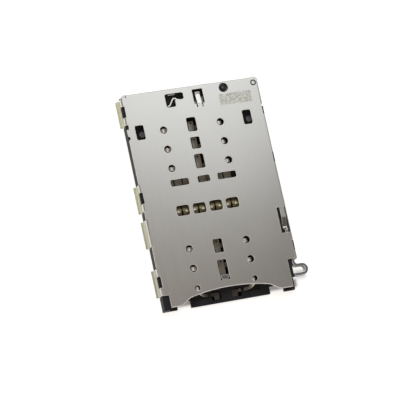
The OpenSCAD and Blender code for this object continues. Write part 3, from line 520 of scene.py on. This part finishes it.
def on_plane(part, plane):
    """Whether all points of an edge or a face are at one height."""
    return all(abs(vert.co.z - plane) < LEVEL for vert in part.verts)


def level_faces(shape, plane):
    return [face for face in shape.faces if abs(face.normal.z) > SQUARE and on_plane(face, plane)]


def inner_edges(shape, faces):
    return [edge for edge in shape.edges
            if len(edge.link_faces) == 2 and all(face in faces for face in edge.link_faces)]


def part_sheet(shape, node):
    """Joins the sheet's flat faces along all but the shortest edges between its openings, so that the
    rounding of one opening doesn't pull on another."""
    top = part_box(node)[1][2]
    for plane in (top, top - SHEET):
        faces = bmesh.ops.triangulate(shape, faces=level_faces(shape, plane))["faces"]
        bmesh.ops.beautify_fill(shape, faces=faces, edges=inner_edges(shape, set(faces)), method="ANGLE")
        shape.edges.index_update()
        inner = inner_edges(shape, set(level_faces(shape, plane)))
        inner.sort(key=lambda edge: (-round(edge.calc_length(), LENGTH_DIGITS), edge.index))
        for edge in inner:
            if edge.is_valid and len(edge.link_faces) == 2:
                one, two = edge.link_faces
                corners = set(one.verts) & set(two.verts)
                if len(corners) == len(set(one.edges) & set(two.edges)) + 1:
                    bmesh.utils.face_join((one, two))


def round_off(shape, edges, offset, segments):
    """Rounds edges, and marks the faces that come of it for the painted highlight on edges."""
    rounded = bmesh.ops.bevel(shape, geom=edges, affect="EDGES", offset=offset, offset_type="OFFSET",
                              segments=segments, profile=0.5, clamp_overlap=False, loop_slide=True,
                              material=-1)
    rim_highlight = shape.faces.layers.float["rim_highlight"]
    for face in rounded["faces"]:
        face[rim_highlight] = 1.0


def mouth_edges(shape, node):
    """The upper edges along the shell's arched mouth, from one front corner to the other."""
    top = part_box(node)[1][2]
    front = [edge for edge in shape.edges if on_plane(edge, top)
             and any(face.normal.y < -FORWARD and abs(face.normal.z) < UPRIGHT for face in edge.link_faces)]
    chain = [min(front, key=lambda edge: sum(vert.co.y for vert in edge.verts))]
    for edge in chain:
        for vert in edge.verts:
            chain += [other for other in vert.link_edges if other in front and other not in chain]
    return chain


def part_shell(shape, node):
    """Parts the sheet and rolls over the edge of its mouth, whose rounding is painted bright as a highlight.
    """
    part_sheet(shape, node)
    round_off(shape, mouth_edges(shape, node), sizes().mouth_edge, MOUTH_SEGMENTS)


def even_normals(mesh):
    """Corner normals that keep the flat faces flat and let the rounded edges run into them."""
    flat = [max(map(abs, face.normal)) > SQUARE for face in mesh.polygons]
    around = [[] for vert in mesh.vertices]
    for face in mesh.polygons:
        for vert in face.vertices:
            around[vert].append(face)
    normals = []
    for face in mesh.polygons:
        for vert in face.vertices:
            near = [other for other in around[vert] if other.normal.dot(face.normal) > SMOOTH]
            total = Vector()
            for other in [other for other in near if flat[other.index]] or near:
                total += other.normal * other.area
            normals.append(face.normal.copy() if flat[face.index] else total.normalized())
    mesh.normals_split_custom_set(normals)


def softened(node, body, edge, segments, material, prepare=None):
    """Puts the CAD node with its sharp edges rounded in place of the plain one."""
    shape = bmesh.new()
    shape.from_mesh(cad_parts[node].data)
    shape.faces.layers.float.new("rim_highlight")
    bmesh.ops.remove_doubles(shape, verts=shape.verts, dist=MERGE)
    bmesh.ops.dissolve_limit(shape, angle_limit=FLAT, verts=shape.verts, edges=shape.edges)
    if prepare:
        prepare(shape, node)
    sharp = [e for e in shape.edges if e.is_manifold and e.calc_face_angle(0.0) > SHARP and not crisp(e)]
    round_off(shape, sharp, edge, segments)
    level(shape, node)
    for face in shape.faces:
        face.smooth = True
    mesh = bpy.data.meshes.new(f"{node}_form")
    shape.to_mesh(mesh)
    shape.free()
    even_normals(mesh)
    mesh.materials.append(material)
    piece = bpy.data.objects.new(f"{node}_form", mesh)
    bpy.context.scene.collection.objects.link(piece)
    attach(piece, body)
    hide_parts(node)


class SOCKET_OT_shell(bpy.types.Operator):
    """Folded steel shell with rounded cut edges and gold-flashed feet."""
    bl_idname = "socket.shell"
    bl_label = "Shell"

    def execute(self, context):
        softened("shell", "frame", sizes().sheet_edge, EDGE_SEGMENTS, shell_steel(),
                 prepare=part_shell)
        return {"FINISHED"}


class SOCKET_OT_moulding(bpy.types.Operator):
    """Moulded floor, rails and pivot post."""
    bl_idname = "socket.moulding"
    bl_label = "Moulding"

    def execute(self, context):
        material = housing_plastic()
        for node in MOULDING:
            softened(node, "frame", sizes().mould_edge, EDGE_SEGMENTS, material)
        return {"FINISHED"}


class SOCKET_OT_card_contacts(bpy.types.Operator):
    """Twelve card contacts and the detect switch."""
    bl_idname = "socket.card_contacts"
    bl_label = "Card contacts"

    def execute(self, context):
        material = contact_metal()
        for node in (*CARD_CONTACTS, *DETECT_SWITCH):
            softened(node, "frame", sizes().contact_edge, EDGE_SEGMENTS, material)
        return {"FINISHED"}


class SOCKET_OT_memory_contacts(bpy.types.Operator):
    """Eight gold-plated memory card contacts."""
    bl_idname = "socket.memory_contacts"
    bl_label = "Memory card contacts"

    def execute(self, context):
        material = contact_gold()
        for node in MEMORY_CONTACTS:
            softened(node, "frame", sizes().contact_edge, EDGE_SEGMENTS, material)
        return {"FINISHED"}


class SOCKET_OT_ejector(bpy.types.Operator):
    """Push rod with its loop, and the lever that it turns."""
    bl_idname = "socket.ejector"
    bl_label = "Ejector"

    def execute(self, context):
        material = ejector_steel()
        for node in EJECTOR:
            softened(node, node, sizes().ejector_edge, EJECTOR_SEGMENTS, material)
        return {"FINISHED"}


CAMERA_AT = Vector((-75.3675, -49.0755, 244.4608)) * MM
CAMERA_TURN = Euler([math.radians(angle) for angle in (14.06854, -14.19508, -12.48572)])
CAMERA_SENSOR = 36.0
CAMERA_CLIP = (1.0 * MM, 10.0)
FLOOR_DROP = 0.02 * MM
FLOOR_SIZE = 500.0 * MM
SOFTBOX_AT = Vector((17.0, 39.0, 60.0)) * MM
SOFTBOX_TARGET = Vector((0.0, 4.0, 1.0)) * MM
SOFTBOX_SIZE = 50.0 * MM
SOFTBOX_TINT = (0.95, 0.985, 1.0)
FILL_AT = Vector((-39.0, -39.0, 117.0)) * MM
FILL_TARGET = Vector((0.0, 0.0, 1.0)) * MM
FILL_SIZE = 60.0 * MM
FILL_TINT = (1.0, 0.89, 0.76)
# Light overhead, from the front of the room to the back
SKY = (
    (0.0, (0.17, 0.13, 0.105)),
    (0.3, (0.05, 0.042, 0.036)),
    (0.5, (0.055, 0.044, 0.034)),
    (0.6, (0.15, 0.11, 0.07)),
    (0.7, (0.54, 0.525, 0.47)),
    (0.85, (0.98, 1.0, 1.0)),
    (1.0, (1.0, 1.0, 1.0)),
)
# White walls fade into the light overhead between these heights of a direction
WALL_TOP = (0.16, 0.42)


class SOCKET_OT_stage(bpy.types.Operator):
    """Pale floor, softbox, fill, even light and the camera."""
    bl_idname = "socket.stage"
    bl_label = "Stage"

    def execute(self, context):
        self.add_floor()
        self.add_lamp("softbox", stage().softbox_power, SOFTBOX_AT, SOFTBOX_TARGET, SOFTBOX_SIZE,
                      SOFTBOX_TINT)
        self.add_lamp("fill", stage().fill_power, FILL_AT, FILL_TARGET, FILL_SIZE, FILL_TINT)
        self.add_room()
        self.add_camera()
        context.scene.view_settings.view_transform = "Standard"
        return {"FINISHED"}

    def add_floor(self):
        mesh = bpy.data.meshes.new("floor")
        sheet = bmesh.new()
        bmesh.ops.create_grid(sheet, x_segments=1, y_segments=1, size=FLOOR_SIZE)
        bmesh.ops.translate(sheet, verts=sheet.verts, vec=(0.0, 0.0, -FLOOR_DROP))
        sheet.to_mesh(mesh)
        sheet.free()
        mesh.materials.append(floor_paper())
        floor = bpy.data.objects.new("floor", mesh)
        bpy.context.scene.collection.objects.link(floor)

    def add_lamp(self, name, power, at, target, size, tint):
        light = bpy.data.lights.new(name, "AREA")
        light.energy = power
        light.shape = "SQUARE"
        light.size = size
        light.color = tint
        lamp = bpy.data.objects.new(name, light)
        aim = (target - at).to_track_quat("-Z", "Y").to_matrix().to_4x4()
        lamp.matrix_world = Matrix.Translation(at) @ aim
        bpy.context.scene.collection.objects.link(lamp)

    def add_room(self):
        """Light all round: white walls under the light overhead."""
        world = bpy.context.scene.world or bpy.data.worlds.new("studio")
        bpy.context.scene.world = world
        nodes = Nodes(world, "ShaderNodeOutputWorld", "Generated")
        ramp = nodes.add("ShaderNodeValToRGB", {"Fac": nodes.spread(nodes.y, 0.0, 1.0, -1.0, 1.0)})
        for place, colour in SKY[1:-1]:
            ramp.color_ramp.elements.new(place)
        for element, (place, colour) in zip(ramp.color_ramp.elements, SKY):
            element.position = place
            element.color = (*colour, 1.0)
        walls = nodes.spread(nodes.z, 1.0, 0.0, *WALL_TOP)
        room = nodes.blend(walls, ramp.outputs["Color"], WHITE)
        light = nodes.add("ShaderNodeBackground", {"Color": room, "Strength": stage().world_level})
        nodes.link(light.outputs["Background"], nodes.output)

    def add_camera(self):
        lens = bpy.data.cameras.new("camera")
        lens.lens = stage().lens
        lens.sensor_width = CAMERA_SENSOR
        lens.clip_start, lens.clip_end = CAMERA_CLIP
        camera = bpy.data.objects.new("camera", lens)
        camera.matrix_world = Matrix.Translation(CAMERA_AT) @ CAMERA_TURN.to_matrix().to_4x4()
        bpy.context.scene.collection.objects.link(camera)
        bpy.context.scene.camera = camera


OPERATORS = (
    SOCKET_OT_shell,
    SOCKET_OT_moulding,
    SOCKET_OT_card_contacts,
    SOCKET_OT_memory_contacts,
    SOCKET_OT_ejector,
    SOCKET_OT_stage,
)


class SOCKET_PT_panel(bpy.types.Panel):
    """Operators and settings of the socket."""
    bl_idname = "SOCKET_PT_panel"
    bl_label = "SIM card socket"
    bl_space_type = "VIEW_3D"
    bl_region_type = "UI"
    bl_category = "Socket"

    def draw(self, context):
        for operator in OPERATORS:
            self.layout.operator(operator.bl_idname)
        for group in (sizes(), finish(), stage()):
            box = self.layout.box()
            for name in group.__annotations__:
                box.prop(group, name)


CLASSES = (SocketSizes, SocketFinish, SocketStage, *OPERATORS, SOCKET_PT_panel)


def register():
    for cls in CLASSES:
        bpy.utils.register_class(cls)
    bpy.types.Scene.socket_sizes = PointerProperty(type=SocketSizes)
    bpy.types.Scene.socket_finish = PointerProperty(type=SocketFinish)
    bpy.types.Scene.socket_stage = PointerProperty(type=SocketStage)


def unregister():
    del bpy.types.Scene.socket_stage
    del bpy.types.Scene.socket_finish
    del bpy.types.Scene.socket_sizes
    for cls in reversed(CLASSES):
        bpy.utils.unregister_class(cls)


def main():
    register()
    bpy.ops.socket.shell()
    bpy.ops.socket.moulding()
    bpy.ops.socket.card_contacts()
    bpy.ops.socket.memory_contacts()
    bpy.ops.socket.ejector()
    bpy.ops.socket.stage()
    bpy.context.view_layer.update()


if __name__ == "__main__":
    main()
